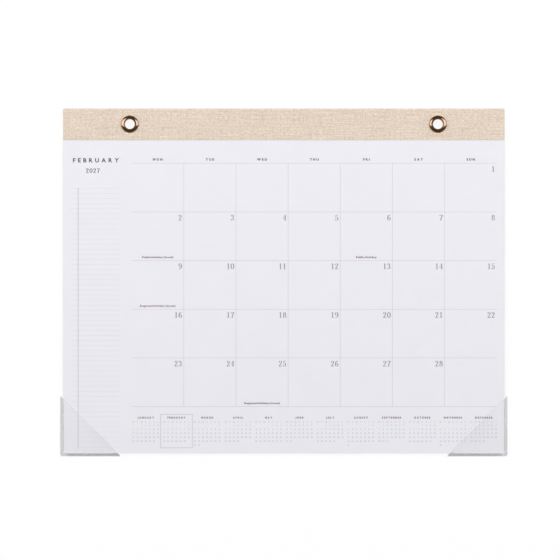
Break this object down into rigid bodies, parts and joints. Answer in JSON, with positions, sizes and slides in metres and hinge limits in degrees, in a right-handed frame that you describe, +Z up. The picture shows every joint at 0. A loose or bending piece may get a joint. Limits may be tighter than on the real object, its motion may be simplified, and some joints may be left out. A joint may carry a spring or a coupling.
{
  "type": "desk pad calendar",
  "caption": "Flat desk pad calendar: turning month leaves on a chipboard back, bound under a folded cloth header with hanging eyelets, lower corners in clear slip-on holders.",
  "frame": {"origin": "middle of the whole outline, on the surface that the pad lies on", "axes": "+Z up out of the calendar's face, +Y towards the header, +X to the reader's right"},
  "size_m": [0.56, 0.4356, 0.0066],
  "materials": {
    "paper": "uncoated, faintly cool white",
    "chipboard": "grey-brown recycled board",
    "glue": "dried padding glue",
    "book_cloth": "natural linen weave",
    "brass": "polished gold",
    "clear_film": "clear soft vinyl"
  },
  "bodies": {
    "pad": {"backing_board": "chipboard", "bound_stubs": "paper", "padding_glue": "glue", "header_band": "book_cloth", "eyelet_left": "brass", "eyelet_right": "brass", "washer_left": "brass", "washer_right": "brass"},
    "february": {"sheet_february": "paper"},
    "march": {"sheet_march": "paper"},
    "april": {"sheet_april": "paper"},
    "may": {"sheet_may": "paper"},
    "june": {"sheet_june": "paper"},
    "july": {"sheet_july": "paper"},
    "august": {"sheet_august": "paper"},
    "september": {"sheet_september": "paper"},
    "october": {"sheet_october": "paper"},
    "november": {"sheet_november": "paper"},
    "december": {"sheet_december": "paper"},
    "holder_left": {"holder_left_back": "clear_film", "holder_left_front": "clear_film"},
    "holder_right": {"holder_right_back": "clear_film", "holder_right_front": "clear_film"}
  },
  "joints": [
    {"name": "march_turn", "type": "hinge", "parent": "pad", "child": "march", "pos_m": [0, 0.1783, 0.00405], "axis": [-1, 0, 0], "range_deg": [0, 35]},
    {"name": "february_turn", "type": "hinge", "parent": "march", "child": "february", "pos_m": [0, 0.1783, 0.00405], "axis": [-1, 0, 0], "range_deg": [0, 130]},
    {"name": "april_turn", "type": "hinge", "parent": "pad", "child": "april", "pos_m": [0, 0.1783, 0.00405], "axis": [-1, 0, 0], "range_deg": [0, 32.21]},
    {"name": "may_turn", "type": "hinge", "parent": "pad", "child": "may", "pos_m": [0, 0.1783, 0.00405], "axis": [-1, 0, 0], "range_deg": [0, 29.41]},
    {"name": "june_turn", "type": "hinge", "parent": "pad", "child": "june", "pos_m": [0, 0.1783, 0.00405], "axis": [-1, 0, 0], "range_deg": [0, 26.61]},
    {"name": "july_turn", "type": "hinge", "parent": "pad", "child": "july", "pos_m": [0, 0.1783, 0.00405], "axis": [-1, 0, 0], "range_deg": [0, 23.81]},
    {"name": "august_turn", "type": "hinge", "parent": "pad", "child": "august", "pos_m": [0, 0.1783, 0.00405], "axis": [-1, 0, 0], "range_deg": [0, 21.01]},
    {"name": "september_turn", "type": "hinge", "parent": "pad", "child": "september", "pos_m": [0, 0.1783, 0.00405], "axis": [-1, 0, 0], "range_deg": [0, 18.21]},
    {"name": "october_turn", "type": "hinge", "parent": "pad", "child": "october", "pos_m": [0, 0.1783, 0.00405], "axis": [-1, 0, 0], "range_deg": [0, 15.41]},
    {"name": "november_turn", "type": "hinge", "parent": "pad", "child": "november", "pos_m": [0, 0.1783, 0.00405], "axis": [-1, 0, 0], "range_deg": [0, 12.61]},
    {"name": "december_turn", "type": "hinge", "parent": "pad", "child": "december", "pos_m": [0, 0.1783, 0.00405], "axis": [-1, 0, 0], "range_deg": [0, 9.81]},
    {"name": "holder_left_slide", "type": "slide", "parent": "pad", "child": "holder_left", "axis": [-0.7071, -0.7071, 0], "range_m": [0, 0.05]},
    {"name": "holder_right_slide", "type": "slide", "parent": "pad", "child": "holder_right", "axis": [0.7071, -0.7071, 0], "range_m": [0, 0.05]}
  ],
  "couplings": [
    {"joint": "april_turn", "follows": "march_turn", "ratio": 0.92},
    {"joint": "may_turn", "follows": "march_turn", "ratio": 0.84},
    {"joint": "june_turn", "follows": "march_turn", "ratio": 0.76},
    {"joint": "july_turn", "follows": "march_turn", "ratio": 0.68},
    {"joint": "august_turn", "follows": "march_turn", "ratio": 0.6},
    {"joint": "september_turn", "follows": "march_turn", "ratio": 0.52},
    {"joint": "october_turn", "follows": "march_turn", "ratio": 0.44},
    {"joint": "november_turn", "follows": "march_turn", "ratio": 0.36},
    {"joint": "december_turn", "follows": "march_turn", "ratio": 0.28}
  ]
}
